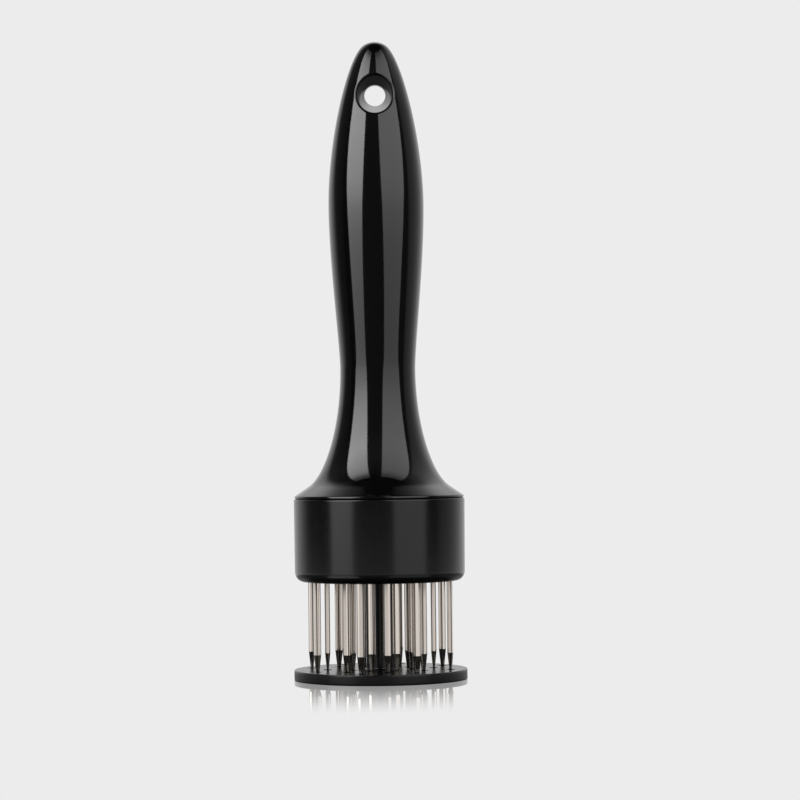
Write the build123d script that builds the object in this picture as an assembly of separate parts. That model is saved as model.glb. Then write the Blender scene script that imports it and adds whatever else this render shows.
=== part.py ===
from build123d import *

import math
import os

# Needle meat tenderizer. A bottle-shaped handle stands on a round cup that holds three rings of flat blades.
# The tips rest inside a sprung guard plate, which slides up on its post as the tool is pressed down.
# Millimetres, +Z up the axis, the origin in the middle of the guard plate's underside.
# The front is -Y, and the hanging hole runs along Y.

# Head: the cup's rim, which the guard plate, the handle's flare and the blade rings take their size from
head_diameter = 52.2
cup_draft = 0.15
guard_overhang = 0.3
flare_step = 0.2
outer_ring_inset = 4.2
middle_ring_share = 0.745
inner_ring_share = 0.445

# Guard plate and its centre post
guard_thickness = 3.2
guard_edge_bevel = 0.4
post_diameter = 9.0
post_slide_clearance = 0.1
post_pass_clearance = 0.4
guard_slot_clearance = 0.4

# Blades
blade_width = 2.3
blade_thickness = 1.5
blade_tip_width = 0.9
blade_tip_thickness = 0.15
blade_tip_length = 6.4
blade_tip_recess = 0.9
blade_head_width = 3.9
blade_head_height = 2.4
bare_blade_length = 26.8
cup_slot_clearance = 0.05

# Three blade rings, turned from the front
ring_blade_count = 8
ring_turn_degrees = -15.0

# Head cup
cup_height = 25.2
cup_wall = 2.4
cup_floor = 3.0
cup_bottom_radius = 3.0
cup_top_bevel = 0.5

# Clamp plate, its guide sleeve and its four screws
clamp_thickness = 3.0
clamp_rim_clearance = 0.3
sleeve_diameter = 16.0
sleeve_height = 8.0
clamp_screw_count = 4
clamp_screw_length = 7.0
boss_clearance = 0.56

# Screws of one size
screw_diameter = 2.9
screw_head_diameter = 5.6
screw_head_height = 2.1
screw_head_bevel = 0.7
screw_clearance = 0.05
screw_hole_spare = 0.5
recess_width = 0.9
recess_span = 3.2
recess_depth = 1.1

# Stop on the top of the post
stop_washer_diameter = 13.0
stop_washer_thickness = 1.0
stop_screw_length = 9.0

# Return spring
spring_wire_diameter = 0.9
spring_mean_diameter = 9.6
spring_turns = 6
spring_end_gap = 0.05
wire_side_count = 4

# Handle outline, heights as shares of its length above the seam
handle_length = 139.8
nose_radius = 6.0
nose_sweep_degrees = 35.0
nose_pull = 6.0
grip_diameter = 29.2
grip_height_share = 0.641
grip_upper_pull = 20.0
grip_lower_pull = 17.8
neck_diameter = 23.0
neck_height_share = 0.282
neck_upper_pull = 7.6
neck_lower_pull = 17.5
flare_curve_pull = 6.1
flare_lip_run = 4.4
flare_edge_height = 0.8
flare_lip_degrees = 34.0
flare_under_bevel = 0.35
curve_face_count = 3

# Handle inside
spigot_clearance = 0.1
spigot_length = 7.0
spigot_wall = 2.6
bell_height = 13.0
bore_diameter = 14.0
bore_depth = 33.0
core_diameter = 7.0
core_drop = 35.8

# Hanging hole
hole_diameter = 6.4
hole_drop = 16.6
hole_land_length = 5.0
funnel_degrees = 25.0

# How far a cutting tool runs past the face that it leaves
overrun = 1.0

# Heights that follow from the sizes above
guard_top = guard_thickness
cup_bottom = guard_top + bare_blade_length
floor_top = cup_bottom + cup_floor
clamp_bottom = floor_top + blade_head_height
clamp_top = clamp_bottom + clamp_thickness
sleeve_top = clamp_top + sleeve_height
washer_top = sleeve_top + stop_washer_thickness
seam = cup_bottom + cup_height
bore_end = seam + bore_depth
handle_top = seam + handle_length
hole_height = handle_top - hole_drop
core_end = handle_top - core_drop

# Radii that follow from the sizes above
head_radius = head_diameter / 2
guard_radius = head_radius + guard_overhang
cup_bottom_outer_radius = head_radius - cup_draft
cup_inner_radius = cup_bottom_outer_radius - cup_wall
flare_edge_radius = head_radius - flare_step
outer_ring_radius = head_radius - outer_ring_inset
middle_ring_radius = outer_ring_radius * middle_ring_share
inner_ring_radius = outer_ring_radius * inner_ring_share
boss_room = cup_inner_radius - middle_ring_radius - blade_thickness / 2
boss_diameter = boss_room - 2 * boss_clearance
clamp_screw_ring_radius = cup_inner_radius - boss_room / 2

# The turn of the middle ring, whose blades stand between those of the other two
stagger_turn_degrees = ring_turn_degrees + 180 / ring_blade_count


# How a bar stands on the tool's axis
standing = (Align.CENTER, Align.CENTER, Align.MIN)


def upright_bar(diameter, bottom, top):
    """A round bar on the tool's axis between two heights."""
    return Pos(Z=bottom) * Cylinder(diameter / 2, top - bottom, align=standing)


def upright_box(length, width, bottom, top):
    """A square-edged bar on the tool's axis between two heights."""
    return Pos(Z=bottom) * Box(length, width, top - bottom, align=standing)


def ring_places(radius, count, turn_degrees):
    """Places spread evenly round the axis, the first turned from the front, each with X pointing outward."""
    step = 360 / count
    return [Rot(Z=turn_degrees - 90 + step * i) * Pos(X=radius) for i in range(count)]


def outer_places():
    return ring_places(outer_ring_radius, ring_blade_count, ring_turn_degrees)


def middle_places():
    return ring_places(middle_ring_radius, ring_blade_count, stagger_turn_degrees)


def inner_places():
    return ring_places(inner_ring_radius, ring_blade_count, ring_turn_degrees)


def clamp_screw_places():
    return ring_places(clamp_screw_ring_radius, clamp_screw_count, stagger_turn_degrees)


def blade_slots(clearance, bottom, top):
    """The openings that every blade passes through, cut past both faces of a plate."""
    slot = upright_box(
        blade_thickness + 2 * clearance, blade_width + 2 * clearance, bottom - overrun, top + overrun
    )
    return [place * slot for place in outer_places() + middle_places() + inner_places()]


def mirrored_face(half):
    """A face from the right-hand half of its outline."""
    return make_face(Polyline(*half, *[(-x, z) for x, z in reversed(half)], close=True))


def ground_taper(body_width, tip_width):
    """The right-hand outline of a ground tip, from the tip up to the plain strip."""
    return [(tip_width / 2, blade_tip_recess), (body_width / 2, blade_tip_recess + blade_tip_length)]


def blade():
    """A flat strip ground on all four sides of its tip: its wide view and its edge view, crossed."""
    head = [
        (blade_width / 2, floor_top),
        (blade_head_width / 2, floor_top),
        (blade_head_width / 2, clamp_bottom),
    ]
    wide = ground_taper(blade_width, blade_tip_width) + head
    edge = ground_taper(blade_thickness, blade_tip_thickness) + [(blade_thickness / 2, clamp_bottom)]
    across = extrude(Plane.YZ * mirrored_face(wide), blade_head_width, both=True)
    along = extrude(Plane.XZ * mirrored_face(edge), blade_head_width, both=True)
    return across & along


def pan_head_screw(seat, length):
    """A cross-recessed screw, its head standing on a seat and its shank reaching down."""
    head_top = seat + screw_head_height
    head = upright_bar(screw_head_diameter, seat, head_top)
    head = chamfer(head.edges().group_by(Axis.Z)[-1], screw_head_bevel)
    shank = upright_bar(screw_diameter, seat - length, seat)
    bar = upright_box(recess_span, recess_width, head_top - recess_depth, head_top + overrun)
    return head + shank - bar - Rot(Z=90) * bar


def screw_hole(bottom, top):
    """A hole that a screw's shank fits with its clearance."""
    return upright_bar(screw_diameter + 2 * screw_clearance, bottom, top)


def guard_plate():
    """The disc that hides the tips, in one piece with the post that guides it."""
    disc = upright_bar(2 * guard_radius, 0, guard_top)
    disc = chamfer(disc.edges().filter_by(GeomType.CIRCLE), guard_edge_bevel)
    disc -= blade_slots(guard_slot_clearance, 0, guard_top)
    post = upright_bar(post_diameter, guard_top - guard_thickness / 2, sleeve_top)
    hole_bottom = washer_top - stop_washer_thickness - stop_screw_length - screw_hole_spare
    return disc + post - screw_hole(hole_bottom, sleeve_top + overrun)


def head_cup():
    """The drafted cup: slots for the blades, a pass hole for the post, and bosses for the clamp's screws."""
    wall = Polyline(
        (0, cup_bottom), (cup_bottom_outer_radius, cup_bottom), (head_radius, seam), (0, seam), close=True
    )
    cup = revolve(Plane.XZ * make_face(wall), Axis.Z)
    cup = fillet(cup.edges().group_by(Axis.Z)[0], cup_bottom_radius)
    cup = chamfer(cup.edges().group_by(Axis.Z)[-1], cup_top_bevel)
    cup -= upright_bar(2 * cup_inner_radius, floor_top, seam + overrun)
    cup += [place * upright_bar(boss_diameter, floor_top, clamp_bottom) for place in clamp_screw_places()]
    cup -= blade_slots(cup_slot_clearance, cup_bottom, floor_top)
    cup -= upright_bar(post_diameter + 2 * post_pass_clearance, cup_bottom - overrun, floor_top + overrun)
    screw_end = clamp_top - clamp_screw_length - screw_hole_spare
    cup -= [place * screw_hole(screw_end, clamp_bottom + overrun) for place in clamp_screw_places()]
    return cup


def clamp_plate():
    """The disc that holds the blade heads down, with the sleeve that the post slides in."""
    plate = upright_bar(2 * (cup_inner_radius - clamp_rim_clearance), clamp_bottom, clamp_top)
    plate += upright_bar(sleeve_diameter, clamp_bottom, sleeve_top)
    slide_diameter = post_diameter + 2 * post_slide_clearance
    plate -= upright_bar(slide_diameter, clamp_bottom - overrun, sleeve_top + overrun)
    plate -= [
        place * screw_hole(clamp_bottom - overrun, clamp_top + overrun) for place in clamp_screw_places()
    ]
    return plate


def clamp_screws():
    screw = pan_head_screw(clamp_top, clamp_screw_length)
    return Compound([place * screw for place in clamp_screw_places()])


def stop_washer():
    washer = upright_bar(stop_washer_diameter, sleeve_top, washer_top)
    return washer - screw_hole(sleeve_top - overrun, washer_top + overrun)


def stop_screw():
    return pan_head_screw(washer_top, stop_screw_length + stop_washer_thickness)


def return_spring():
    """An open coil between the stop washer and the end of the handle's bore."""
    inset = spring_wire_diameter / 2 + spring_end_gap
    start = washer_top + inset
    height = bore_end - inset - start
    coil_radius = spring_mean_diameter / 2
    path = Helix(height / spring_turns, height, coil_radius, center=(0, 0, start))
    wire = Plane(path @ 0, z_dir=path % 0) * RegularPolygon(spring_wire_diameter / 2, wire_side_count)
    return sweep(wire, path, is_frenet=True)


def in_lengths(curve):
    """A long curve in equal lengths, each of which sweeps out a face of its own."""
    ends = [i / curve_face_count for i in range(curve_face_count + 1)]
    return [curve.trim(start, end) for start, end in zip(ends, ends[1:])]


def handle_outline():
    """The handle's outside from the top of the nose down to the edge of the flare."""
    sweep_angle = math.radians(nose_sweep_degrees)
    lip_angle = math.radians(flare_lip_degrees)
    nose_centre = handle_top - nose_radius
    grip = Vector(grip_diameter / 2, seam + handle_length * grip_height_share)
    neck = Vector(neck_diameter / 2, seam + handle_length * neck_height_share)
    edge = Vector(flare_edge_radius, seam + flare_edge_height)
    curve_end = edge + Vector(-flare_lip_run, flare_lip_run * math.tan(lip_angle))
    lip_way = Vector(math.cos(lip_angle), -math.sin(lip_angle))
    nose = CenterArc((0, nose_centre), nose_radius, 90, -nose_sweep_degrees)
    nose_end = nose @ 1
    nose_way = Vector(math.cos(sweep_angle), -math.sin(sweep_angle))
    down = Vector(0, -1)
    shoulder = Bezier(nose_end, nose_end + nose_way * nose_pull, grip - down * grip_upper_pull, grip)
    waist = Bezier(grip, grip + down * grip_lower_pull, neck - down * neck_upper_pull, neck)
    flare = Bezier(neck, neck + down * neck_lower_pull, curve_end - lip_way * flare_curve_pull, curve_end)
    curves = in_lengths(shoulder) + in_lengths(waist) + in_lengths(flare)
    return [nose, *curves, Line(curve_end, edge)]


def handle_inside():
    """The flare's underside, the spigot, the bell, the spring's bore and the hollow core, up to the axis."""
    spigot_radius = cup_inner_radius - spigot_clearance
    bell_radius = spigot_radius - spigot_wall
    spigot_end = seam - spigot_length
    return Polyline(
        (flare_edge_radius, seam + flare_edge_height),
        (flare_edge_radius, seam + flare_under_bevel),
        (flare_edge_radius - flare_under_bevel, seam),
        (spigot_radius, seam),
        (spigot_radius, spigot_end),
        (bell_radius, spigot_end),
        (bell_radius, seam),
        (bore_diameter / 2, seam + bell_height),
        (bore_diameter / 2, bore_end),
        (core_diameter / 2, bore_end),
        (core_diameter / 2, core_end),
        (0, core_end),
        (0, handle_top),
    )


def hanging_hole():
    """A plain hole through the handle that opens into a funnel on both sides."""
    hole_radius = hole_diameter / 2
    land_end = hole_land_length / 2
    outside = grip_diameter / 2 + overrun
    funnel_radius = hole_radius + (outside - land_end) * math.tan(math.radians(funnel_degrees))
    half = [
        (0, outside),
        (funnel_radius, outside),
        (hole_radius, land_end),
    ]
    mirrored = [(x, -y) for x, y in reversed(half)]
    cutter = revolve(make_face(Polyline(*half, *mirrored, close=True)), Axis.Y)
    return Pos(Z=hole_height) * cutter


def handle():
    section = make_face([*handle_outline(), *handle_inside().edges()])
    return revolve(Plane.XZ * section, Axis.Z) - hanging_hole()


def numbered(name, shape, places):
    """One solid for each place, under a numbered name."""
    return {f"{name}_{i:02d}": place * shape for i, place in enumerate(places, start=1)}


pieces = {
    "handle": handle(),
    "head_cup": head_cup(),
    "clamp_plate": clamp_plate(),
    "clamp_screws": clamp_screws(),
    "guard_plate": guard_plate(),
    "stop_washer": stop_washer(),
    "stop_screw": stop_screw(),
    "return_spring": return_spring(),
}
pieces |= numbered("outer_blade", blade(), outer_places())
pieces |= numbered("middle_blade", blade(), middle_places())
pieces |= numbered("inner_blade", blade(), inner_places())

os.makedirs("parts", exist_ok=True)
for name, shape in pieces.items():
    export_step(shape, f"parts/{name}.step")
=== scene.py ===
import math

import bmesh
import bpy
import numpy as np
from mathutils import Matrix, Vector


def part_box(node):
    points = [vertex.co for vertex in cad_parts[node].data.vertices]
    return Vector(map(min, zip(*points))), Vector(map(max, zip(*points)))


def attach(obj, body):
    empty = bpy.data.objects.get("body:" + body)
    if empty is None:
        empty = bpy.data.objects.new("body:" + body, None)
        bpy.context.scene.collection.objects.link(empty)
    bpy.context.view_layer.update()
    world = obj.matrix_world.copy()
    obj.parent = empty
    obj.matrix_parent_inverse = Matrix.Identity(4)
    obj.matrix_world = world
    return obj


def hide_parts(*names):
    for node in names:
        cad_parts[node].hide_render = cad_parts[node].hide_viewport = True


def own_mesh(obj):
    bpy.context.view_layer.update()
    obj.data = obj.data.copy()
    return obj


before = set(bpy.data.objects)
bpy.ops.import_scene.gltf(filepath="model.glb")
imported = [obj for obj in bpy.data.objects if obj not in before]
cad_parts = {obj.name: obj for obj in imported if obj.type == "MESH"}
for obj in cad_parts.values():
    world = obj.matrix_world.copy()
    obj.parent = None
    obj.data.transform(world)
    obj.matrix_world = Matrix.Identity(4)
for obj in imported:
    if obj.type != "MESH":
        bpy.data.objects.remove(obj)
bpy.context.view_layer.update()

# Needle meat tenderizer, in millimetres until a mesh is made. +Z is up the axis and -Y the front.
MM = 0.001


def node_box(node):
    """Lowest and highest corner of a CAD node, in millimetres."""
    low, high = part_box(node)
    return np.array(low) / MM, np.array(high) / MM


# Heights and radii read from the frame
_, guard_high = node_box("guard_plate")
cup_low, cup_high = node_box("head_cup")
handle_low, handle_high = node_box("handle")
spring_low, spring_high = node_box("return_spring")
blade_low, blade_high = node_box("outer_blade_01")
clamp_low, _ = node_box("clamp_plate")
guard_radius, post_top = guard_high[0], guard_high[2]
head_radius = cup_high[0]
cup_bottom, seam = cup_low[2], cup_high[2]
flare_radius = handle_high[0]
spigot_end, handle_top = handle_low[2], handle_high[2]
spring_foot, spring_top = spring_low[2], spring_high[2]
tip_end, blade_top = blade_low[2], blade_high[2]
boss_top = clamp_low[2]

# Guard plate and post
guard_top = 3.2
guard_edge_radius = 0.3
guard_slot_clearance = 0.4
guard_slot_rounding = 0.15
hub_radius = 6.6
post_radius = 4.5
post_fillet = 0.6
post_top_rounding = 0.3
screw_hole_radius = 1.5
screw_hole_depth = 9.5
screw_hole_rounding = 0.2

# Cup
cup_floor = 3.0
cup_wall = 2.4
cup_draft = 0.15
cup_bottom_radius = 3.0
cup_bottom_margin = 0.05
cup_rim_radius = 0.5
cup_inside_rounding = 0.3
cup_slot_clearance = 0.05
cup_slot_rounding = 0.05
pass_radius = 4.9
boss_clearance = 0.56
boss_sink = 0.2
boss_foot_rounding = 0.05
floor_top = cup_bottom + cup_floor
cup_bottom_outer = head_radius - cup_draft
cup_inner = cup_bottom_outer - cup_wall
cup_flat = cup_bottom_outer - cup_bottom_radius

# Blades
blade_half_thickness = 0.75
blade_half_width = 1.15
blade_edge_radius = 0.3
blade_edge_share = 0.4
blade_crown = 0.06
blade_head_half_width = 1.95
blade_head_rim = 0.15
tip_half_thickness = 0.075
tip_half_width = 0.45
tip_length = 7.4
tip_edge_run = 0.1
tip_edge_blend = 1.0
# Where the painted shade on the strips' corners starts, and over how much it blends in
corner_shade_share = 0.7
corner_shade_blend_share = 0.08
tip_start = tip_end + tip_length

# Handle outline and inside
nose_radius = 6.0
nose_sweep_degrees = 35.0
nose_pull = 6.0
grip_radius = 14.6
grip_height_share = 0.641
grip_upper_pull = 20.0
grip_lower_pull = 17.8
neck_radius = 11.5
neck_height_share = 0.282
neck_upper_pull = 7.6
neck_lower_pull = 17.5
flare_curve_pull = 6.1
flare_lip_run = 4.4
flare_lip_degrees = 34.0
flare_edge_height = 0.8
flare_edge_radius = 0.4
flare_under_bevel = 0.35
flare_bevel_rounding = 0.15
spigot_clearance = 0.1
spigot_wall = 2.6
spigot_root_rounding = 0.1
spigot_end_rounding = 0.3
bell_height = 13.0
bell_rounding = 0.5
bore_radius = 7.0
bore_depth = 33.0
bore_mouth_rounding = 1.0
bore_end_rounding = 0.3
core_radius = 3.5
core_cover = 35.8
core_end_rounding = 1.0
handle_length = handle_top - seam
grip_height = seam + grip_height_share * handle_length
neck_height = seam + neck_height_share * handle_length
bore_end = seam + bore_depth
core_end = handle_top - core_cover

# Hanging hole, and the window in the handle's grid that it is set in
hole_drop = 16.6
hole_radius = 3.2
funnel_degrees = 18.5
rim_rounding = 0.45
rim_inside_rounding = 0.3
land_half_length = 1.2
land_rounding = 0.2
window_above = 9.2
window_below = 9.6
hole_height = handle_top - hole_drop

# Spring
wire_radius = 0.45
coil_radius = 4.8
spring_turns = 6

# Fineness of the grids
merge_distance = 0.002
outline_step = 0.5
nose_points = 60
curve_points = 1500
handle_columns = 144
window_columns = (12, 60)
collar_rows, rim_rows, cone_rows, land_rows = 10, 8, 16, 4
collar_crowding = 1.4
rim_rounds = 30
slot_columns = 20
slot_side_rows = 10
slot_rounding_rows = 4
slot_power = 10
slot_face_shares = (0, 0.35, 0.65, 0.85, 0.96)
hub_rows = 6
boss_columns = 32
strip_rows = 12
strip_face_columns = 9
strip_corner_degrees = (0, 30, 60, 90)
tip_row_shares = (0, 0, 0.02, 0.3, 0.6, 0.9, 0.985, 1)
coil_steps = 40
wire_columns = 16


def bezier(points):
    """Cubic curve: four control points, each weighted by its Bernstein polynomial in t."""
    t = np.linspace(0, 1, curve_points)[:, None]
    a, b, c, d = (np.array(p, float) for p in points)
    return (1 - t) ** 3 * a + 3 * (1 - t) ** 2 * t * b + 3 * (1 - t) * t**2 * c + t**3 * d


def arc(centre, radius, start, end, count):
    """Circle of a radius about a centre, from a start angle to an end angle in degrees."""
    angle = np.radians(np.linspace(start, end, count))
    return np.array(centre) + radius * np.column_stack((np.cos(angle), np.sin(angle)))


def even_steps(path, step):
    """The same path at even steps along its length."""
    run = np.r_[0, np.cumsum(np.linalg.norm(np.diff(path, axis=0), axis=1))]
    stops = np.linspace(0, run[-1], int(round(run[-1] / step)) + 1)
    return np.column_stack([np.interp(stops, run, column) for column in path.T])


def straight(start, end, step=1.6):
    """A straight run whose points crowd towards both ends, by a cosine, so that flats stay flat beside
    roundings."""
    count = max(4, int(np.ceil(np.linalg.norm(end - start) / step)))
    share = (1 - np.cos(np.linspace(0, np.pi, count + 1)))[:, None] / 2
    return start + (end - start) * share


def rounded(corners, radii, steps=6):
    """A profile through corners, each inner one replaced by an arc of its radius that is tangent to both
    sides. The arc's points turn evenly from its first point to its last, about its centre."""
    points = [np.array(corner, float) for corner in corners]
    stretches = []
    start = points[0]
    t = np.linspace(0, 1, steps + 1)[:, None]
    for before, corner, after, radius in zip(points, points[1:], points[2:], radii):
        to_before = (before - corner) / np.linalg.norm(before - corner)
        to_after = (after - corner) / np.linalg.norm(after - corner)
        half = math.acos(np.clip(to_before @ to_after, -1, 1)) / 2
        middle = (to_before + to_after) / np.linalg.norm(to_before + to_after)
        centre = corner + middle * radius / math.sin(half)
        first = corner + to_before * radius / math.tan(half)
        last = corner + to_after * radius / math.tan(half)
        turn = math.pi - 2 * half
        swing = np.sin((1 - t) * turn) * (first - centre) + np.sin(t * turn) * (last - centre)
        stretches += [straight(start, first)[:-1], centre + swing[:-1] / math.sin(turn)]
        start = last
    return np.concatenate(stretches + [straight(start, points[-1])])


def lathe(profile, columns, turn=0.0):
    """A profile of radius and height carried round the axis: x = r cos a, y = r sin a, z = height."""
    angle = turn + np.linspace(0, 2 * np.pi, columns + 1)
    radius, height = np.array(profile).T
    across = np.outer(radius, np.cos(angle))
    along = np.outer(radius, np.sin(angle))
    return np.stack((across, along, np.repeat(height[:, None], columns + 1, axis=1)), axis=-1)


def at_bearing(out, aside, height, bearing):
    """Rows of points, each row at its height: x = out cos b - aside sin b, y = out sin b + aside cos b."""
    x = out * math.cos(bearing) - aside * math.sin(bearing)
    y = out * math.sin(bearing) + aside * math.cos(bearing)
    return np.stack((x, y, np.broadcast_to(height[:, None], x.shape)), axis=-1)


def grid_quads(rows, columns, first):
    """Corner numbers of the quads between neighbouring rows and columns of a grid."""
    number = first + np.arange(rows * columns).reshape(rows, columns)
    return np.stack((number[:-1, :-1], number[:-1, 1:], number[1:, 1:], number[1:, :-1]), axis=-1)


def put_in_scene(name, mesh, materials):
    """A new object with a mesh and its materials."""
    for material in materials:
        mesh.materials.append(material)
    made = bpy.data.objects.new(name, mesh)
    bpy.context.scene.collection.objects.link(made)
    return made


def piece(name, patches, body, replaced, materials, sharp_degrees=38.0):
    """One closed mesh from grids of points, joined where their borders meet. A patch may bring a mask of the
    quads that are kept."""
    points, quads, first = [], [], 0
    for patch in patches:
        grid, kept = patch if isinstance(patch, tuple) else (patch, None)
        rows, columns, _ = grid.shape
        cells = grid_quads(rows, columns, first)
        quads.append(cells.reshape(-1, 4) if kept is None else cells[kept])
        points.append(grid.reshape(-1, 3))
        first += rows * columns
    mesh = bpy.data.meshes.new(name)
    mesh.from_pydata((np.concatenate(points) * MM).tolist(), [], np.concatenate(quads).tolist())
    shell = bmesh.new()
    shell.from_mesh(mesh)
    bmesh.ops.remove_doubles(shell, verts=shell.verts, dist=merge_distance * MM)
    bmesh.ops.recalc_face_normals(shell, faces=shell.faces)
    shell.to_mesh(mesh)
    shell.free()
    mesh.shade_smooth()
    mesh.set_sharp_from_angle(angle=math.radians(sharp_degrees))
    made = put_in_scene(name, mesh, materials)
    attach(made, body)
    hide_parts(replaced)
    return made


# Handle


def handle_outside():
    """The outline from the nose to the lip: a circle's arc, then three cubic curves tangent to each other."""
    sweep = math.radians(nose_sweep_degrees)
    lip = math.radians(flare_lip_degrees)
    nose = arc((0, handle_top - nose_radius), nose_radius, 90, 90 - nose_sweep_degrees, nose_points)
    nose_way = np.array((math.cos(sweep), -math.sin(sweep)))
    lip_way = np.array((math.cos(lip), -math.sin(lip)))
    down = np.array((0, -1))
    grip = np.array((grip_radius, grip_height))
    neck = np.array((neck_radius, neck_height))
    edge = np.array((flare_radius, seam + flare_edge_height))
    curve_end = edge - flare_lip_run * np.array((1, -math.tan(lip)))
    shoulder = bezier((nose[-1], nose[-1] + nose_way * nose_pull, grip - down * grip_upper_pull, grip))
    waist = bezier((grip, grip + down * grip_lower_pull, neck - down * neck_upper_pull, neck))
    flare = bezier((neck, neck + down * neck_lower_pull, curve_end - lip_way * flare_curve_pull, curve_end))
    return np.concatenate((nose[:-1], shoulder[:-1], waist[:-1], flare))


def handle_underside(lip_start):
    """From the lip over the flare's edge and down round the spigot, then up the bore to the axis."""
    spigot = cup_inner - spigot_clearance
    bell = spigot - spigot_wall
    corners = (
        lip_start,
        (flare_radius, seam + flare_edge_height),
        (flare_radius, seam + flare_under_bevel),
        (flare_radius - flare_under_bevel, seam),
        (spigot, seam),
        (spigot, spigot_end),
        (bell, spigot_end),
        (bell, seam),
        (bore_radius, seam + bell_height),
        (bore_radius, bore_end),
        (core_radius, bore_end),
        (core_radius, core_end),
        (0, core_end),
    )
    radii = (
        flare_edge_radius,
        flare_bevel_rounding,
        flare_bevel_rounding,
        spigot_root_rounding,
        spigot_end_rounding,
        spigot_end_rounding,
        bell_rounding,
        bore_mouth_rounding,
        bore_end_rounding,
        bore_end_rounding,
        core_end_rounding,
    )
    return rounded(corners, radii, steps=5)


def hanging_hole(border, radius_at):
    """The front of the hanging hole. From the window's border the wall closes to the rim on the handle's own
    surface, y = -sqrt(r(z)^2 - x^2), bends over it into a plain cone, and over the cone's end on to the plain
    land. The rim is where the cone meets the surface: at each bearing its radius is found by repeated
    substitution. Every row runs round the hole, at the bearing of its border point."""
    bearing = np.arctan2(border[:, 2] - hole_height, border[:, 0])
    spread = math.tan(math.radians(funnel_degrees))

    def on_wall(x, z):
        return np.stack((x, -np.sqrt(radius_at(z) ** 2 - x**2), z), axis=-1)

    def across(radius):
        return radius * np.cos(bearing), hole_height + radius * np.sin(bearing)

    def on_cone(radius):
        x, z = across(radius)
        return np.stack((x, -land_half_length - (radius - hole_radius) / spread + 0 * x, z), axis=-1)

    def bend(start, corner, end, count):
        t = np.linspace(0, 1, count)[1:, None, None]
        return (1 - t) ** 2 * start + 2 * (1 - t) * t * corner + t**2 * end

    rim_radius = np.full(len(bearing), 2 * hole_radius)
    for _ in range(rim_rounds):
        depth = -on_wall(*across(rim_radius))[:, 1]
        rim_radius = 0.5 * rim_radius + 0.5 * (hole_radius + (depth - land_half_length) * spread)
    outer = on_wall(*across(rim_radius + rim_rounding))
    closing = 1 - (1 - np.linspace(0, 1, collar_rows)) ** collar_crowding
    flat = border[None] + (outer - border)[None] * closing[:, None, None]
    collar = on_wall(flat[..., 0], flat[..., 2])
    inside = on_cone(rim_radius - rim_inside_rounding)
    over_rim = bend(outer, on_cone(rim_radius), inside, rim_rows)
    cone_end = on_cone(np.full(len(bearing), hole_radius + land_rounding * spread))
    cone = inside + (cone_end - inside) * np.linspace(0, 1, cone_rows)[1:, None, None]
    land_corner = on_cone(np.full(len(bearing), hole_radius))
    land_start = land_corner + np.array((0, land_rounding, 0))
    on_land = bend(cone_end, land_corner, land_start, land_rows)
    return np.concatenate((collar, over_rim, cone, on_land))


def handle_patches():
    """The lathed handle with a window front and back, and the hanging hole that joins the two windows."""
    outline = handle_outside()
    outside = even_steps(outline, outline_step)
    profile = np.concatenate((outside, handle_underside(outside[-1])[1:]))
    body = lathe(profile, handle_columns, -np.pi)
    top = int(np.argmin(np.abs(outside[:, 1] - (hole_height + window_above))))
    bottom = int(np.argmin(np.abs(outside[:, 1] - (hole_height - window_below))))
    left, right = window_columns
    kept = np.ones((len(profile) - 1, handle_columns), bool)
    kept[top:bottom, left:right] = False
    kept[top:bottom, handle_columns - right : handle_columns - left] = False
    border = np.concatenate(
        (
            body[bottom, left:right],
            body[top + 1 : bottom + 1, right][::-1],
            body[top, left + 1 : right + 1][::-1],
            body[top : bottom + 1, left],
        )
    )
    front = hanging_hole(border, lambda z: np.interp(z, outline[::-1, 1], outline[::-1, 0]))
    back = front * np.array((1, -1, 1))
    return [(body, kept), np.concatenate((front, back[::-1]))]


# Plates with blade slots


def blade_place(node):
    """Ring radius and bearing of a blade, from the middle of its CAD box."""
    low, high = node_box(node)
    middle = (low + high) / 2
    return math.hypot(middle[0], middle[1]), math.atan2(middle[1], middle[0])


blade_nodes = sorted(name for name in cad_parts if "blade" in name)
inner_ring, middle_ring, outer_ring = (
    [blade_place(name) for name in blade_nodes if name.startswith(ring)]
    for ring in ("inner", "middle", "outer")
)
plate_columns = slot_columns * len(outer_ring)
plate_turn = outer_ring[0][1] - math.pi / len(outer_ring)
ring_borders = (
    hub_radius,
    (inner_ring[0][0] + middle_ring[0][0]) / 2,
    (middle_ring[0][0] + outer_ring[0][0]) / 2,
)
boss_room = cup_inner - middle_ring[0][0] - blade_half_thickness
boss_radius = boss_room / 2 - boss_clearance


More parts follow.
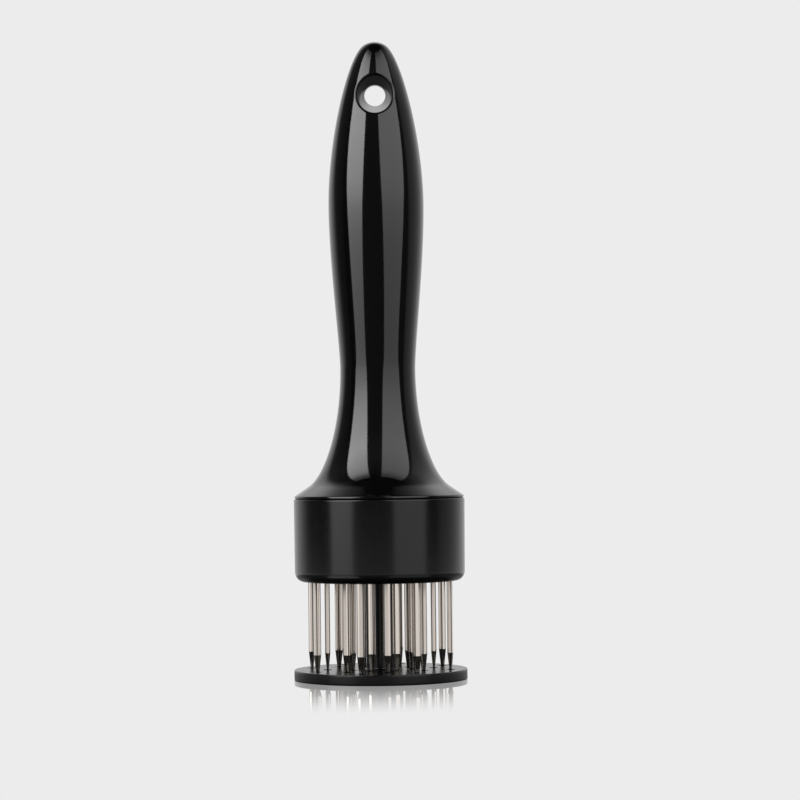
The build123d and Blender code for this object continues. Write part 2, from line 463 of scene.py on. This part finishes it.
def slot_sector(place, count, inside, outside, clearance, rounding, low, high):
    """One sector of a plate with a blade slot in it: its top, the slot's walls and its underside in one
    strip. The sector's border closes on the slot along straight lines, and the slot is the superellipse
    |u / a|^p + |v / b|^p = 1 about the blade, its edges rounded by widening it towards both faces."""
    ring_radius, bearing = place
    half = math.pi / count
    columns, side = plate_columns // count, slot_side_rows
    angle = np.linspace(-half, half, columns + 1)
    radius = np.linspace(inside, outside, side + 1)
    border_radius = np.r_[np.full(columns, inside), radius[:-1], np.full(columns, outside), radius[::-1]]
    border_angle = np.r_[angle[:-1], np.full(side, half), angle[:0:-1], np.full(side + 1, -half)]
    border_out = border_radius * np.cos(border_angle) - ring_radius
    border = np.stack((border_out, border_radius * np.sin(border_angle)), axis=-1)
    way = border / np.linalg.norm(border, axis=1, keepdims=True)

    def slot(widening):
        size = np.array((blade_half_thickness, blade_half_width)) + clearance + widening
        return way * ((np.abs(way / size) ** slot_power).sum(axis=1) ** (-1 / slot_power))[:, None]

    quarter = np.linspace(0, np.pi / 2, slot_rounding_rows)
    closing, opening = rounding * (1 - np.sin(quarter)), rounding * (1 - np.cos(quarter))
    widenings = np.r_[closing, 0, opening]
    wall_height = np.r_[high - opening, (high + low) / 2, low + closing]
    face = border + (slot(rounding) - border) * np.array(slot_face_shares)[:, None, None]
    walls = np.stack([slot(widening) for widening in widenings])
    flat = np.concatenate((face, walls, face[::-1]))
    height = np.r_[np.full(len(face), high), wall_height, np.full(len(face), low)]
    return at_bearing(ring_radius + flat[..., 0], flat[..., 1], height, bearing)


def slotted_plate(low, high, rim, clearance, rounding):
    """Both faces of a plate from its hub to its rim, with a slot for every blade."""
    borders = (*ring_borders, rim)
    return [
        slot_sector(place, len(ring), inside, outside, clearance, rounding, low, high)
        for ring, inside, outside in zip((inner_ring, middle_ring, outer_ring), borders, borders[1:])
        for place in ring
    ]


def guard_patches():
    """The guard disc with its slots, its rounded rim and the post that stands on it."""
    flat = guard_radius - 2 * guard_edge_radius
    rim = rounded(
        ((flat, guard_top), (guard_radius, guard_top), (guard_radius, 0), (flat, 0)),
        (guard_edge_radius, guard_edge_radius),
    )
    post = rounded(
        (
            (hub_radius, guard_top),
            (post_radius, guard_top),
            (post_radius, post_top),
            (screw_hole_radius, post_top),
            (screw_hole_radius, post_top - screw_hole_depth),
            (0, post_top - screw_hole_depth),
        ),
        (post_fillet, post_top_rounding, screw_hole_rounding, screw_hole_rounding),
    )
    hub_radii = np.linspace(0, hub_radius, hub_rows)
    underside = np.column_stack((hub_radii, 0 * hub_radii))
    patches = slotted_plate(0, guard_top, flat, guard_slot_clearance, guard_slot_rounding)
    return patches + [lathe(profile, plate_columns, plate_turn) for profile in (rim, post, underside)]


def cup_patches():
    """The drafted cup: slotted floor, rounded bottom edge, rim, inside wall, and the bosses on its floor."""
    wall = rounded(
        (
            (cup_flat, cup_bottom),
            (cup_bottom_outer, cup_bottom),
            (head_radius, seam),
            (cup_inner, seam),
            (cup_inner, floor_top),
            (cup_flat, floor_top),
        ),
        (cup_bottom_radius - cup_bottom_margin, cup_rim_radius, cup_inside_rounding, cup_inside_rounding),
        steps=12,
    )
    pass_hole = rounded(
        (
            (hub_radius, cup_bottom),
            (pass_radius, cup_bottom),
            (pass_radius, floor_top),
            (hub_radius, floor_top),
        ),
        (cup_inside_rounding, cup_inside_rounding),
    )
    boss = rounded(
        (
            (0, floor_top - boss_sink),
            (boss_radius, floor_top - boss_sink),
            (boss_radius, boss_top),
            (screw_hole_radius, boss_top),
            (screw_hole_radius, floor_top),
            (0, floor_top),
        ),
        (boss_foot_rounding, screw_hole_rounding, screw_hole_rounding, screw_hole_rounding),
    )
    patches = slotted_plate(cup_bottom, floor_top, cup_flat, cup_slot_clearance, cup_slot_rounding)
    patches += [lathe(profile, plate_columns, plate_turn) for profile in (wall, pass_hole)]
    bearing = np.array([place[1] for place in middle_ring[::2]])
    ways = np.stack((np.cos(bearing), np.sin(bearing), 0 * bearing), axis=-1)
    return patches + [lathe(boss, boss_columns) + place for place in (cup_inner - boss_room / 2) * ways]


# Blades


def blade_patches(place):
    """A strip lofted through rounded rectangles. Each rectangle's point is its corner centre plus the edge
    radius along its own bearing, and the wide faces are crowned by a parabola across their width."""
    ring_radius, bearing = place
    across = np.linspace(-1, 1, strip_face_columns)[1:-1]
    bend = np.radians(strip_corner_degrees)
    face, corner = np.ones(len(across)), np.ones(len(bend))
    side_x = np.r_[face, corner, 0, -corner, -face, -corner, 0, corner]
    side_y = np.r_[across, corner, 1, corner, -across, -corner, -1, -corner]
    way_x = np.r_[face, np.cos(bend), 0, -np.sin(bend), -face, -np.cos(bend), 0, np.sin(bend)]
    way_y = np.r_[0 * face, np.sin(bend), 1, np.cos(bend), 0 * face, -np.sin(bend), -1, -np.cos(bend)]
    plain_edge = np.zeros(2 * len(bend) + 1)
    crown = np.r_[1 - across**2, plain_edge, across**2 - 1, plain_edge]

    tip_shares = np.array(tip_row_shares)
    height = np.r_[
        tip_end + tip_shares * tip_length,
        tip_start + tip_edge_run,
        np.linspace(tip_start + tip_edge_blend, floor_top, strip_rows),
    ]
    body = np.ones(len(height) - len(tip_shares))
    height = np.r_[
        height, floor_top, floor_top + blade_head_rim, blade_top - blade_head_rim, blade_top, blade_top
    ]
    head = np.ones(len(height) - len(tip_shares) - len(body))
    thick = np.r_[
        tip_half_thickness + tip_shares * (blade_half_thickness - tip_half_thickness),
        body * blade_half_thickness,
        head * blade_half_thickness,
    ]
    wide = np.r_[
        tip_half_width + tip_shares * (blade_half_width - tip_half_width),
        body * blade_half_width,
        head * blade_head_half_width,
    ]
    swell = blade_crown * np.r_[tip_shares, body, head]
    closed = np.r_[0, np.ones(len(height) - 2), 0]
    edge = np.minimum(blade_edge_radius, blade_edge_share * thick)

    u = np.outer((thick - edge) * closed, side_x) + np.outer(edge * closed, way_x)
    u += np.outer(swell * closed, crown)
    v = np.outer((wide - edge) * closed, side_y) + np.outer(edge * closed, way_y)
    u, v = (np.concatenate((part, part[:, :1]), axis=1) for part in (u, v))
    return [at_bearing(ring_radius + u, v, height, bearing)]


def grind_tip(blade):
    """Gives the faces below the start of the tip the second material."""
    centres = np.empty(3 * len(blade.data.polygons), np.float32)
    blade.data.polygons.foreach_get("center", centres)
    ground = centres[2::3] < tip_start * MM
    blade.data.polygons.foreach_set("material_index", ground.astype(np.int32))


def mark_points(thing, name, values):
    """Gives every point of a mesh a number, for its material to read by name."""
    attribute = thing.data.attributes.new(name, "FLOAT", "POINT")
    attribute.data.foreach_set("value", values.astype(np.float32).ravel())


def paint_corner_shade(blade, place):
    """Marks the painted corner shade: 1 on the strip's rounded corners and 0 on its faces. A point's mark
    rises with the product of its shares of the half thickness and of the half width."""
    ring_radius, bearing = place
    points = np.empty(3 * len(blade.data.vertices), np.float32)
    blade.data.vertices.foreach_get("co", points)
    x, y, _ = points.reshape(-1, 3).T / MM
    out = x * math.cos(bearing) + y * math.sin(bearing) - ring_radius
    aside = y * math.cos(bearing) - x * math.sin(bearing)
    share = np.abs(out) / blade_half_thickness * (np.abs(aside) / blade_half_width)
    # Painted shade: 1 on the corners that darken to stand in for the shade between the blades
    mark_points(blade, "corner_shade", np.clip((share - corner_shade_share) / corner_shade_blend_share, 0, 1))


# Spring


def spring_patches():
    """Round wire on a helix: the point is the helix's point plus the wire radius along its normal and
    binormal."""
    low, rise = spring_foot + wire_radius, spring_top - spring_foot - 2 * wire_radius
    t = np.linspace(0, 1, spring_turns * coil_steps + 1)[:, None]
    turn = 2 * np.pi * spring_turns * t
    pitch = rise / (2 * np.pi * spring_turns)
    normal = np.concatenate((np.cos(turn), np.sin(turn), 0 * turn), axis=1)
    centre = coil_radius * normal + np.concatenate((0 * t, 0 * t, low + rise * t), axis=1)
    along = np.concatenate((-coil_radius * np.sin(turn), coil_radius * np.cos(turn), pitch + 0 * t), axis=1)
    along /= np.linalg.norm(along, axis=1, keepdims=True)
    binormal = np.cross(along, normal)
    round_wire = np.linspace(0, 2 * np.pi, wire_columns + 1)[None, :, None]
    ring = np.cos(round_wire) * normal[:, None] + np.sin(round_wire) * binormal[:, None]
    tube = centre[:, None] + wire_radius * ring
    ends = np.repeat(centre[(0, -1), None], wire_columns + 1, axis=1)
    return [np.concatenate((ends[:1], tube, ends[1:]))]


# Materials


def linear(code):
    """An sRGB hex colour as linear red, green, blue and full alpha."""
    value = np.array([int(code[k : k + 2], 16) for k in (1, 3, 5)]) / 255
    value = np.where(value <= 0.04045, value / 12.92, ((value + 0.055) / 1.055) ** 2.4)
    return (*value.tolist(), 1.0)


def add(tree, kind, inputs=None, **settings):
    """Adds a node with its settings, and sets or links its inputs."""
    node = tree.nodes.new(kind)
    for name, value in settings.items():
        setattr(node, name, value)
    for name, value in (inputs or {}).items():
        if isinstance(value, bpy.types.NodeSocket):
            tree.links.new(value, node.inputs[name])
        else:
            node.inputs[name].default_value = value
    return node


def blank(name):
    """A new material and its empty node tree."""
    material = bpy.data.materials.new(name)
    material.use_nodes = True
    material.node_tree.nodes.clear()
    return material, material.node_tree


def per_metre(millimetres):
    """Noise scale for features of a size, in metres of Object coordinates."""
    return 1 / (millimetres * MM)


def moulded_abs(name, sharp, soft, ior):
    """Black ABS that shows its tool's finish: hard clear gloss from a polished tool, a soft sheen from a
    finely blasted one. The roughness runs from sharp to soft in small clouds, and the surface waves faintly
    where the plastic flowed. A soft finish mirrors less, so it has a lower IOR than ABS's usual 1.53."""
    material, tree = blank(name)
    place = add(tree, "ShaderNodeTexCoord").outputs["Object"]
    flow = add(tree, "ShaderNodeTexNoise", {"Vector": place, "Scale": per_metre(9), "Detail": 2.0})
    haze = add(tree, "ShaderNodeTexNoise", {"Vector": place, "Scale": per_metre(2.2), "Detail": 4.0})
    cloud = haze.outputs["Fac"]
    shades = {"Factor": cloud, "A": linear("#040405"), "B": linear("#070708")}
    black = add(tree, "ShaderNodeMix", shades, data_type="RGBA")
    gloss = add(tree, "ShaderNodeMapRange", {"Value": cloud, "To Min": sharp, "To Max": soft})
    wave = {"Height": flow.outputs["Fac"], "Strength": 0.25, "Distance": 0.02 * MM}
    look = {
        "Base Color": black.outputs["Result"],
        "Roughness": gloss.outputs["Result"],
        "Normal": add(tree, "ShaderNodeBump", wave).outputs["Normal"],
        "IOR": ior,
    }
    shader = add(tree, "ShaderNodeBsdfPrincipled", look)
    add(tree, "ShaderNodeOutputMaterial", {"Surface": shader.outputs["BSDF"]})
    return material


def rolled_steel():
    """Bright cold-rolled stainless strip: soft mirror with faint lines along its length from the rolls, and
    near-black corners that are painted shade, standing in for the shade and dark reflections between the
    blades.
    The real lines are a few hundredths of a millimetre apart and are drawn about eight times coarser."""
    material, tree = blank("cold_rolled_stainless_strip")
    place = add(tree, "ShaderNodeTexCoord").outputs["Object"]
    drawn = add(tree, "ShaderNodeMapping", {"Vector": place, "Scale": (1.0, 1.0, 0.02)}).outputs["Vector"]
    noise = add(tree, "ShaderNodeTexNoise", {"Vector": drawn, "Scale": per_metre(0.3), "Detail": 3.0})
    lines = noise.outputs["Fac"]
    cloud = add(tree, "ShaderNodeTexNoise", {"Vector": place, "Scale": per_metre(7), "Detail": 2.0})
    shades = {"Factor": cloud.outputs["Fac"], "A": linear("#cac1ba"), "B": linear("#d6cec5")}
    bright = add(tree, "ShaderNodeMix", shades, data_type="RGBA").outputs["Result"]
    # Painted shade: the strip's rounded corners darken to near black, standing in for the shade and dark
    # reflections between the blades.
    corner_shade = add(tree, "ShaderNodeAttribute", attribute_name="corner_shade").outputs["Fac"]
    corners = {"Factor": corner_shade, "A": bright, "B": linear("#2c2825")}
    gloss = add(tree, "ShaderNodeMapRange", {"Value": lines, "To Min": 0.05, "To Max": 0.08})
    rolled = {"Height": lines, "Strength": 0.1, "Distance": 0.01 * MM}
    look = {
        "Base Color": add(tree, "ShaderNodeMix", corners, data_type="RGBA").outputs["Result"],
        "Roughness": gloss.outputs["Result"],
        "Normal": add(tree, "ShaderNodeBump", rolled).outputs["Normal"],
        "Metallic": 1.0,
    }
    shader = add(tree, "ShaderNodeBsdfPrincipled", look)
    add(tree, "ShaderNodeOutputMaterial", {"Surface": shader.outputs["BSDF"]})
    return material


def ground_steel():
    """Stainless ground on a wheel: streaked across the tip by the grit and a little duller than the strip.
    Its colour is far darker than steel's: painted shade for the black disc that the tips mirror.
    The grit's lines, about 0.05 mm apart, are drawn twelve times coarser."""
    material, tree = blank("ground_stainless_tip")
    place = add(tree, "ShaderNodeTexCoord").outputs["Object"]
    grit = add(tree, "ShaderNodeMapping", {"Vector": place, "Scale": (0.1, 0.1, 1.0)}).outputs["Vector"]
    noise = add(tree, "ShaderNodeTexNoise", {"Vector": grit, "Scale": per_metre(0.6), "Detail": 1.0})
    lines = noise.outputs["Fac"]
    tip_tone = add(tree, "ShaderNodeTexNoise", {"Vector": place, "Scale": per_metre(2.5), "Detail": 2.0})
    # Painted shade: both greys lie far below steel's brightness, standing in for the black disc mirrored in
    # the tips.
    shades = {"Factor": tip_tone.outputs["Fac"], "A": linear("#625d58"), "B": linear("#7e7871")}
    gloss = add(tree, "ShaderNodeMapRange", {"Value": lines, "To Min": 0.12, "To Max": 0.2})
    scored = {"Height": lines, "Strength": 0.06, "Distance": 0.01 * MM}
    look = {
        "Base Color": add(tree, "ShaderNodeMix", shades, data_type="RGBA").outputs["Result"],
        "Roughness": gloss.outputs["Result"],
        "Normal": add(tree, "ShaderNodeBump", scored).outputs["Normal"],
        "Metallic": 1.0,
    }
    shader = add(tree, "ShaderNodeBsdfPrincipled", look)
    add(tree, "ShaderNodeOutputMaterial", {"Surface": shader.outputs["BSDF"]})
    return material


def moulded_nylon():
    """Nylon moulded in a plain tool: dull black with a fine even grain."""
    material, tree = blank("moulded_nylon")
    place = add(tree, "ShaderNodeTexCoord").outputs["Object"]
    noise = add(tree, "ShaderNodeTexNoise", {"Vector": place, "Scale": per_metre(0.4), "Detail": 3.0})
    grain = noise.outputs["Fac"]
    shades = {"Factor": grain, "A": linear("#141414"), "B": linear("#202020")}
    rough = {"Height": grain, "Strength": 0.3, "Distance": 0.02 * MM}
    look = {
        "Base Color": add(tree, "ShaderNodeMix", shades, data_type="RGBA").outputs["Result"],
        "Roughness": 0.5,
        "Normal": add(tree, "ShaderNodeBump", rough).outputs["Normal"],
        "IOR": 1.53,
    }
    shader = add(tree, "ShaderNodeBsdfPrincipled", look)
    add(tree, "ShaderNodeOutputMaterial", {"Surface": shader.outputs["BSDF"]})
    return material


def bright_steel(name, dark, light, size):
    """Steel with a bright finish, clouded at a size in millimetres: the crystals of a zinc plating or the
    marks that drawing leaves on a wire."""
    material, tree = blank(name)
    place = add(tree, "ShaderNodeTexCoord").outputs["Object"]
    noise = add(tree, "ShaderNodeTexNoise", {"Vector": place, "Scale": per_metre(size), "Detail": 3.0})
    cloud = noise.outputs["Fac"]
    shades = {"Factor": cloud, "A": linear(dark), "B": linear(light)}
    gloss = add(tree, "ShaderNodeMapRange", {"Value": cloud, "To Min": 0.22, "To Max": 0.38})
    look = {
        "Base Color": add(tree, "ShaderNodeMix", shades, data_type="RGBA").outputs["Result"],
        "Roughness": gloss.outputs["Result"],
        "Metallic": 1.0,
    }
    shader = add(tree, "ShaderNodeBsdfPrincipled", look)
    add(tree, "ShaderNodeOutputMaterial", {"Surface": shader.outputs["BSDF"]})
    return material


handle_black = moulded_abs("polished_moulded_abs", 0.05, 0.1, 1.53)
cup_black = moulded_abs("softly_polished_moulded_abs", 0.15, 0.23, 1.44)
guard_black = moulded_abs("finely_blasted_moulded_abs", 0.19, 0.28, 1.44)
strip_steel = rolled_steel()
tip_steel = ground_steel()
nylon = moulded_nylon()
zinc = bright_steel("zinc_plated_steel", "#9fa3a8", "#c4c7ca", 0.6)
wire_steel = bright_steel("drawn_spring_wire", "#7f8184", "#a9abad", 0.4)

# The object
piece("handle_moulding", handle_patches(), "tool_body", "handle", [handle_black])
piece("cup_moulding", cup_patches(), "tool_body", "head_cup", [cup_black])
piece("guard_moulding", guard_patches(), "guard", "guard_plate", [guard_black])
for node in blade_nodes:
    place = blade_place(node)
    strip_name = node.replace("blade", "strip")
    finishes = [strip_steel, tip_steel]
    strip = piece(strip_name, blade_patches(place), "tool_body", node, finishes)
    grind_tip(strip)
    # Painted shade on the strip's corners
    paint_corner_shade(strip, place)
coil = piece("coil_spring", spring_patches(), "tool_body", "return_spring", [wire_steel])
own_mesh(coil)
for node, material in (
    ("clamp_plate", nylon),
    ("clamp_screws", zinc),
    ("stop_washer", zinc),
    ("stop_screw", zinc),
):
    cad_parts[node].data.materials.clear()
    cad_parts[node].data.materials.append(material)


# Studio

pale = linear("#ececec")
floor_half_width = 580.0
floor_front = -660.0
floor_back = 400.0
mirror_lean_degrees = 2.5
panel_distance = 1000.0
panel_foot = -80.0
panel_height = 700.0
panel_lean = 930.0
panel_lean_degrees = 55.0
panel_widening = 450.0
panel_heights = (0, 100, 200, 250, 330, 400, 500, 600, 700, 1100, 1250, 1400)
panel_glow = (0.26, 0.34, 0.5, 0.63, 0.76, 0.84, 0.91, 0.98, 1.0, 0.7, 0.52, 0.1)
panel_rows, panel_lean_rows, panel_columns = 40, 30, 24


def stage_piece(name, grid, material):
    """A grid of points in millimetres as part of the studio."""
    rows, columns, _ = grid.shape
    mesh = bpy.data.meshes.new(name)
    quads = grid_quads(rows, columns, 0).reshape(-1, 4)
    mesh.from_pydata((grid.reshape(-1, 3) * MM).tolist(), [], quads.tolist())
    made = put_in_scene(name, mesh, [material])
    return made


def pale_floor():
    """A pale gloss board. The camera sees it lit evenly, at flat angles with a mirror about the tool's foot
    that fades outwards. The board is flat, but its mirror leans a little to the front, as a bowed board's
    would, and shortens what it shows. In the tool's own reflections it is pale only at flat angles, shaded
    near the tool and glossy further out."""
    material, tree = blank("pale_gloss_board")
    seen = add(tree, "ShaderNodeLightPath").outputs["Is Camera Ray"]
    place = add(tree, "ShaderNodeTexCoord").outputs["Object"]
    away = add(tree, "ShaderNodeVectorMath", {0: place}, operation="LENGTH").outputs["Value"]
    facing = add(tree, "ShaderNodeLayerWeight", {"Blend": 0.5}).outputs["Facing"]
    shade, flat, seen_near, seen_flat, glossy_further = (
        add(
            tree,
            "ShaderNodeMapRange",
            {"Value": value, "From Min": start, "From Max": end, "To Min": first, "To Max": last},
            interpolation_type="SMOOTHSTEP",
        ).outputs["Result"]
        for value, start, end, first, last in (
            (away, 50 * MM, 90 * MM, 0.3, 1.0),
            (facing, 0.8, 0.92, 0.12, 1.25),
            (away, 30 * MM, 120 * MM, 0.68, 0.0),
            (facing, 0.84, 0.9, 0.0, 1.0),
            (away, 50 * MM, 80 * MM, 0.0, 0.25),
        )
    )
    reflected = add(tree, "ShaderNodeMath", {0: shade, 1: flat}, operation="MULTIPLY").outputs["Value"]
    strength = add(tree, "ShaderNodeMix", {"Factor": seen, "A": reflected, "B": 1.0})
    even = add(tree, "ShaderNodeEmission", {"Color": pale, "Strength": strength.outputs["Result"]})
    lean = math.radians(mirror_lean_degrees)
    bowed = add(tree, "ShaderNodeCombineXYZ", {"Y": -math.sin(lean), "Z": math.cos(lean)})
    mirror = add(
        tree,
        "ShaderNodeBsdfAnisotropic",
        {"Color": (1, 1, 1, 1), "Roughness": 0.05, "Normal": bowed.outputs["Vector"]},
        distribution="MULTI_GGX",
    )
    gloss = add(tree, "ShaderNodeMath", {0: seen_near, 1: seen_flat}, operation="MULTIPLY").outputs["Value"]
    share = add(tree, "ShaderNodeMix", {"Factor": seen, "A": glossy_further, "B": gloss})
    surface = add(
        tree,
        "ShaderNodeMixShader",
        {0: share.outputs["Result"], 1: even.outputs["Emission"], 2: mirror.outputs["BSDF"]},
    )
    add(tree, "ShaderNodeOutputMaterial", {"Surface": surface.outputs["Shader"]})
    return material


def glowing(name, strength):
    """A lit panel whose strength at each point comes from the mesh's own attribute."""
    material, tree = blank(name)
    glow = add(tree, "ShaderNodeAttribute", attribute_name="glow").outputs["Fac"]
    power = add(tree, "ShaderNodeMath", {0: glow, 1: strength}, operation="MULTIPLY")
    shine = add(tree, "ShaderNodeEmission", {"Strength": power.outputs["Value"]})
    add(tree, "ShaderNodeOutputMaterial", {"Surface": shine.outputs["Emission"]})
    return material


def softbox(name, low_edges, high_edges, strength, evenness=1.0):
    """A curved softbox between two bearings (degrees from the camera, right positive): upright to its
    shoulder and then leaning over on a circle. Its edges move from low to high with height h, as
    1 - exp(-h / widening), and it glows by the table of heights to the power of its evenness."""
    heights = np.linspace(panel_foot, panel_height, panel_rows)
    upright = np.column_stack((np.full(panel_rows, panel_distance), heights))
    shoulder = (panel_distance - panel_lean, panel_height)
    over = arc(shoulder, panel_lean, 0, panel_lean_degrees, panel_lean_rows)
    path = np.concatenate((upright, over[1:]))
    rise = 1 - np.exp(-np.maximum(path[:, 1:], 0) / panel_widening)
    edges = np.array(low_edges) + (np.array(high_edges) - low_edges) * rise
    bearing = np.radians(edges[:, :1] + (edges[:, 1:] - edges[:, :1]) * np.linspace(0, 1, panel_columns))
    x = path[:, :1] * np.sin(bearing)
    y = -path[:, :1] * np.cos(bearing)
    z = np.repeat(path[:, 1:], panel_columns, axis=1)
    panel = stage_piece(name, np.stack((x, y, z), axis=-1), glowing(name, strength))
    mark_points(panel, "glow", np.interp(z, panel_heights, panel_glow) ** evenness)
    panel.visible_camera = False


def surroundings():
    """Pale where the camera looks. For light and reflections: dark in front, overhead and at the left above
    the horizon, brighter behind and brightest high up behind."""
    world = bpy.data.worlds.new("studio")
    world.use_nodes = True
    tree = world.node_tree
    tree.nodes.clear()
    way = add(tree, "ShaderNodeSeparateXYZ", {"Vector": add(tree, "ShaderNodeTexCoord").outputs["Generated"]})
    x, y, z = way.outputs
    behind = add(tree, "ShaderNodeMapRange", {"Value": y, "From Min": -1.0, "From Max": 1.0})
    depth = add(tree, "ShaderNodeValToRGB", {"Fac": behind.outputs["Result"]})
    stops = depth.color_ramp.elements
    stops[0].position, stops[0].color = 0.0, (0.06, 0.06, 0.06, 1)
    stops[1].position, stops[1].color = 0.9, pale
    for position, grey in ((0.45, 0.06), (0.49, 0.25), (0.655, 0.36), (0.77, 0.52)):
        stops.new(position).color = (grey, grey, grey, 1)
    high = add(
        tree,
        "ShaderNodeMapRange",
        {"Value": z, "From Min": 0.35, "From Max": 0.65, "To Min": 1.0, "To Max": 1.7},
        interpolation_type="SMOOTHSTEP",
    )
    overhead = add(
        tree,
        "ShaderNodeMapRange",
        {"Value": z, "From Min": 0.68, "From Max": 0.93, "To Min": 1.0, "To Max": 0.02},
    )
    leaning = add(tree, "ShaderNodeMath", {0: z, 1: -0.47, 2: x}, operation="MULTIPLY_ADD").outputs["Value"]
    left = add(
        tree,
        "ShaderNodeMapRange",
        {"Value": leaning, "From Min": -0.97, "From Max": -0.8, "To Min": 0.2, "To Max": 1.0},
        interpolation_type="SMOOTHSTEP",
    )
    heights = {0: high.outputs["Result"], 1: overhead.outputs["Result"]}
    top = add(tree, "ShaderNodeMath", heights, operation="MULTIPLY").outputs["Value"]
    level = add(tree, "ShaderNodeMath", {0: top, 1: left.outputs["Result"]}, operation="MULTIPLY")
    light = {"Color": depth.outputs["Color"], "Strength": level.outputs["Value"]}
    glow = add(tree, "ShaderNodeBackground", light).outputs["Background"]
    backdrop = add(tree, "ShaderNodeBackground", {"Color": pale, "Strength": 1.0}).outputs["Background"]
    seen = add(tree, "ShaderNodeLightPath").outputs["Is Camera Ray"]
    both = add(tree, "ShaderNodeMixShader", {0: seen, 1: glow, 2: backdrop})
    add(tree, "ShaderNodeOutputWorld", {"Surface": both.outputs["Shader"]})
    bpy.context.scene.world = world


floor_grid = np.array(
    [[(x, y, 0) for x in (-floor_half_width, floor_half_width)] for y in (floor_front, floor_back)]
)
stage_piece("pale_floor", floor_grid, pale_floor())
softbox("left_softbox", (-66, -36), (-82, -27.5), 5.8)
softbox("right_softbox", (20, 63.5), (7.5, 80), 2.1, evenness=0.55)
surroundings()

# Camera: the photograph's eye stands level with the cup and looks up a little
eye = np.array((6.7, -850.0, 67.5))
look_up_degrees = 1.19
roll_degrees = -0.62
lens = bpy.data.cameras.new("camera")
lens.sensor_width = 36.0
lens.lens = 125.1
lens.clip_start = 0.01
camera = bpy.data.objects.new("camera", lens)
camera.matrix_world = (
    Matrix.Translation(eye * MM)
    @ Matrix.Rotation(math.radians(90 + look_up_degrees), 4, "X")
    @ Matrix.Rotation(math.radians(roll_degrees), 4, "Z")
)
bpy.context.scene.collection.objects.link(camera)
bpy.context.scene.camera = camera
bpy.context.scene.view_settings.view_transform = "Standard"

bpy.context.view_layer.update()
